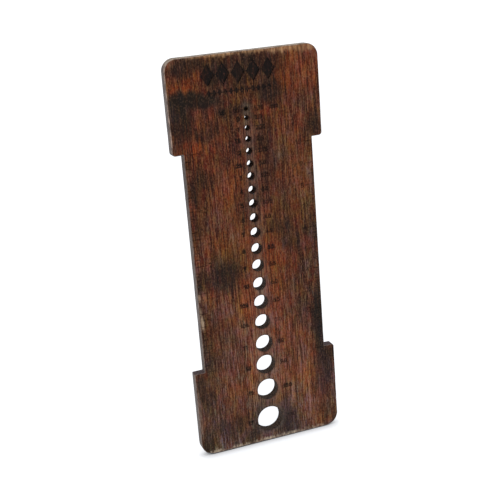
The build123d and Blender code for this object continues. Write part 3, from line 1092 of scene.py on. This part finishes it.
    rough = wood.math("ADD", wood.ramp(fibre, over=(0.3, 0.7), give=(0.46, 0.62)),
                      wood.times(wear_mask, 0.15))
    pits = wood.times(wood.ramp(fleck, over=(0.42, 0.30)), -0.5)
    height = wood.math("ADD", wood.times(fibre, 0.55),
                       wood.math("ADD", wood.times(hair, 0.3), pits))
    return wood.finish(color, rough, height, strength=0.55, specular=0.10)


def rim_wood(name, seed, dark, middle, light, grain, worn=None):
    """The sawn edge of a veneer: scorched, with streaks of size `grain`. `worn` is the colour
    of a lighter band next to the front face."""
    wood = Surface(name)
    streak = wood.noise(grain, seed)
    patch = wood.noise((4.5, 3.0, 6.0), seed + 1)
    speck = wood.noise((0.28, 0.28, 0.28), seed + 2, detail=2)
    color = wood.mix(wood.ramp(streak, over=(0.34, 0.66)), srgb(*dark), srgb(*middle))
    color = wood.layers(color, [
        (patch, 0.45, 0.68, 0.75, srgb(*light)),
        (speck, 0.44, 0.30, 0.6, srgb(26, 20, 18))])
    if worn is not None:
        band = wood.ramp(wood.axis(1), over=(-1.95, -1.55), give=(1.0, 0.0))
        chip = wood.ramp(wood.noise((1.6, 1.6, 3.4), seed + 3, roughness=0.65),
                         over=(0.40, 0.62), give=(0.15, 1.0))
        high = wood.ramp(wood.axis(2), over=(138.0, 148.0), give=(0.45, 1.0))
        color = wood.mix(wood.times(wood.times(band, chip), high), color, srgb(*worn))
    # painted shade: darker along the upper part of the waist, most just under the upper shoulder
    painted_shade_under_shoulder = wood.times(wood.ramp(wood.axis(2), over=(90.0, 135.0)),
                            wood.ramp(wood.axis(2), over=(143.0, 145.0), give=(1.0, 0.0)))
    color = wood.mix(wood.times(painted_shade_under_shoulder, 0.45), color, srgb(56, 46, 42))
    # painted shade: the lower shoulders, turned up, darker and purple-grey
    ledge = wood.times(wood.facing(axis=2, sign=1.0, over=(0.5, 0.9)),
                       wood.ramp(wood.axis(2), over=(50.0, 80.0), give=(1.0, 0.0)))
    speckled_painted_shade = wood.mix(wood.ramp(speck, over=(0.40, 0.60)), srgb(50, 38, 40), srgb(98, 80, 82))
    color = wood.mix(ledge, color, speckled_painted_shade)
    # painted highlight: the top edge, paler where it turns up
    painted_top_highlight = wood.times(wood.facing(axis=2, sign=1.0, over=(0.3, 0.8)),
                       wood.ramp(wood.axis(2), over=(150.0, 180.0)))
    patchy = wood.ramp(patch, over=(0.36, 0.58), give=(0.35, 0.9))
    color = wood.mix(wood.times(painted_top_highlight, patchy), color, srgb(176, 160, 142))
    # painted shade: darker on sides turned to the right
    right_facing_painted_shading = wood.facing(axis=0, sign=1.0, over=(0.2, 0.7))
    color = wood.mix(wood.times(right_facing_painted_shading, 0.3 if worn is None else 0.8), color, srgb(72, 65, 62))
    # painted shade: slate blue on sides turned down, towards the floor
    down_facing_painted_shade = wood.facing(axis=2, sign=-1.0, over=(0.1, 0.35))
    color = wood.mix(wood.times(down_facing_painted_shade, 0.8), color, srgb(52, 60, 66))
    rough = wood.ramp(streak, over=(0.3, 0.7), give=(0.55, 0.75))
    height = wood.math("ADD", streak, wood.times(speck, 0.4))
    return wood.finish(color, rough, height, strength=0.5, specular=0.2)


def bore_wall(name):
    """The bores' walls: charred black high on the plate, browner lower down."""
    wall = Surface(name)
    flute = wall.noise((0.35, 2.6, 0.35), seed=53)
    patch = wall.noise((1.1, 1.0, 1.1), seed=54)
    lower = wall.ramp(wall.axis(2), over=(112.0, 76.0))
    dark = wall.mix(lower, srgb(24, 12, 8), srgb(32, 23, 19))
    light = wall.mix(lower, srgb(48, 29, 21), srgb(72, 58, 49))
    brown = wall.mix(lower, srgb(60, 38, 28), srgb(96, 77, 63))
    color = wall.mix(wall.ramp(flute, over=(0.36, 0.66)), dark, light)
    color = wall.layers(color, [(patch, 0.52, 0.70, 0.6, brown)])
    material = wall.finish(color, rough=0.72, height=flute, strength=0.6)
    specular = wall.math("ADD", wall.times(lower, 0.05), 0.01)
    wall.put(wall.bsdf.inputs["Specular IOR Level"], specular)
    return material


def resin(name):
    glue = Surface(name)
    noise = glue.noise((0.8, 0.8, 0.8), seed=31)
    color = glue.mix(glue.ramp(noise, over=(0.35, 0.68)), srgb(38, 31, 28), srgb(74, 62, 55))
    return glue.finish(color, rough=0.5, height=noise, strength=0.3, distance=0.03)


def joint_face(name):
    joint = Surface(name)
    noise = joint.noise((0.4, 0.4, 0.4), seed=57)
    color = joint.mix(joint.ramp(noise, over=(0.36, 0.66)), srgb(40, 32, 30), srgb(80, 68, 62))
    return joint.finish(color, rough=0.7, height=noise, strength=0.6, specular=0.12)


FRONT_WOOD = face_wood("stained_face_wood_front", seed=1.0)
BACK_WOOD = face_wood("stained_face_wood_back", seed=23.0)
FRONT_RIM = rim_wood("front_veneer_edge", seed=41, dark=(56, 44, 40), middle=(92, 78, 72),
                     light=(116, 100, 92), grain=(0.5, 0.22, 7.0), worn=(166, 142, 128))
BACK_RIM = rim_wood("back_veneer_edge", seed=43, dark=(46, 40, 39), middle=(72, 64, 61),
                    light=(92, 82, 77), grain=(0.5, 0.22, 7.0))
BAND_RIM = rim_wood("cross_band_edge", seed=45, dark=(70, 62, 60), middle=(106, 97, 93),
                    light=(128, 117, 110), grain=(0.34, 0.34, 0.5))
CORE_RIM = rim_wood("core_veneer_edge", seed=47, dark=(74, 65, 62), middle=(116, 104, 98),
                    light=(134, 121, 112), grain=(0.5, 0.25, 7.0))
ENGRAVING = face_wood("burnt_engraving", seed=1.0, burn=(srgb(9, 6, 6), srgb(104, 62, 50)))
BORE_WALL = bore_wall("charred_bore_wall")
RESIN = resin("cured_glue_line")
JOINT = joint_face("joint_face")

# ----------------------------------------------------------------------------
# the nine layers
# ----------------------------------------------------------------------------
BAND_LOOK = ("cross_band_wood", [BAND_RIM, BAND_RIM, JOINT, BORE_WALL])
GLUE_LOOK = ("glue_film", [RESIN] * 4)
# node: (slot name, materials in the order FACE, EDGE, ENGRAVED, BORE)
LOOKS = {
    "front_face_veneer": ("labelled_face_wood", [FRONT_WOOD, FRONT_RIM, ENGRAVING, BORE_WALL]),
    "back_face_veneer": ("back_face_wood", [BACK_WOOD, BACK_RIM, JOINT, BORE_WALL]),
    "front_cross_band": BAND_LOOK,
    "rear_cross_band": BAND_LOOK,
    "core_veneer": ("core_wood", [CORE_RIM, CORE_RIM, JOINT, BORE_WALL]),
}
FACE_SEEDS = {"front_face_veneer": 11, "back_face_veneer": 37}

for node in NODES:
    slot_name, materials = LOOKS.get(node, GLUE_LOOK)
    if node in FACE_SEEDS:
        piece = face_layer("worn_" + node, node, node.startswith("front"), FACE_SEEDS[node],
                           materials)
    else:
        piece = inner_layer("worn_" + node, node, materials)
    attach(piece, "root")
    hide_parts(node)

# ----------------------------------------------------------------------------
# floor, light and camera, in metres
# ----------------------------------------------------------------------------
scene = bpy.context.scene
FLOOR_HALF = 30.0


def studio_floor():
    """Paper that glows with painted light, dimmed into a painted contact shadow where the plate
    stands close to it.
    """
    mesh = bpy.data.meshes.new("studio_floor")
    corners = [(x * FLOOR_HALF, y * FLOOR_HALF, 0) for x, y in ((-1, -1), (1, -1), (1, 1), (-1, 1))]
    mesh.from_pydata(corners, [], [(0, 1, 2, 3)])
    floor = bpy.data.objects.new("studio_floor", mesh)
    scene.collection.objects.link(floor)
    paper = Surface("studio_paper")
    occlusion = paper.node("AmbientOcclusion", samples=8)
    occlusion.inputs["Distance"].default_value = 0.0045
    # painted contact shadow: the paper's glow, dimmed by occlusion near the plate
    glow_with_painted_contact_shadow = paper.times(occlusion.outputs["AO"], 0.80)
    paper.put(paper.bsdf.inputs["Emission Color"], (0.93, 0.97, 1.02, 1.0))
    paper.put(paper.bsdf.inputs["Emission Strength"], glow_with_painted_contact_shadow)
    mesh.materials.append(paper.finish((0.46, 0.44, 0.43, 1.0), rough=0.9, specular=0.1))


def studio_world():
    world = bpy.data.worlds.new("studio_world")
    scene.world = world
    world.use_nodes = True
    nodes, links = world.node_tree.nodes, world.node_tree.links
    sky = nodes["Background"]
    sky.inputs[0].default_value = (1.0, 1.0, 1.0, 1.0)
    rays = nodes.new("ShaderNodeLightPath")
    level = nodes.new("ShaderNodeMapRange")
    level.inputs["To Min"].default_value = 0.68      # light the room gives
    level.inputs["To Max"].default_value = 1.02      # what the camera sees of it
    links.new(rays.outputs["Is Camera Ray"], level.inputs["Value"])
    links.new(level.outputs[0], sky.inputs[1])


def sun(name, direction, strength, spread):
    """Light travelling along `direction`, as soft as a panel `spread` degrees wide."""
    data = bpy.data.lights.new(name, "SUN")
    data.energy = strength
    data.angle = math.radians(spread)
    light = bpy.data.objects.new(name, data)
    light.rotation_euler = Vector(direction).to_track_quat("-Z", "Y").to_euler()
    scene.collection.objects.link(light)


def photo_camera():
    data = bpy.data.cameras.new("photo_camera")
    data.sensor_width = 36.0
    data.lens = 69.93
    data.clip_start = 0.01
    camera = bpy.data.objects.new("photo_camera", data)
    # the camera's own axes, then its place
    camera.matrix_world = Matrix((
        (0.93305956, -0.35141639, -0.07685297, 0),   # right
        (0.17571557, 0.25883178, 0.94980532, 0),     # up
        (-0.31388517, -0.8997292, 0.3032548, 0),     # back
        (-0.14070, -0.39545, 0.22930, 1),            # place
    )).transposed()
    scene.collection.objects.link(camera)
    scene.camera = camera


studio_floor()
studio_world()
sun("key_panel", direction=(0.55, 0.75, -1.0), strength=0.55, spread=60)
sun("back_panel", direction=(-0.2, -0.9, -1.1), strength=0.20, spread=70)
photo_camera()
scene.view_settings.view_transform = "Standard"
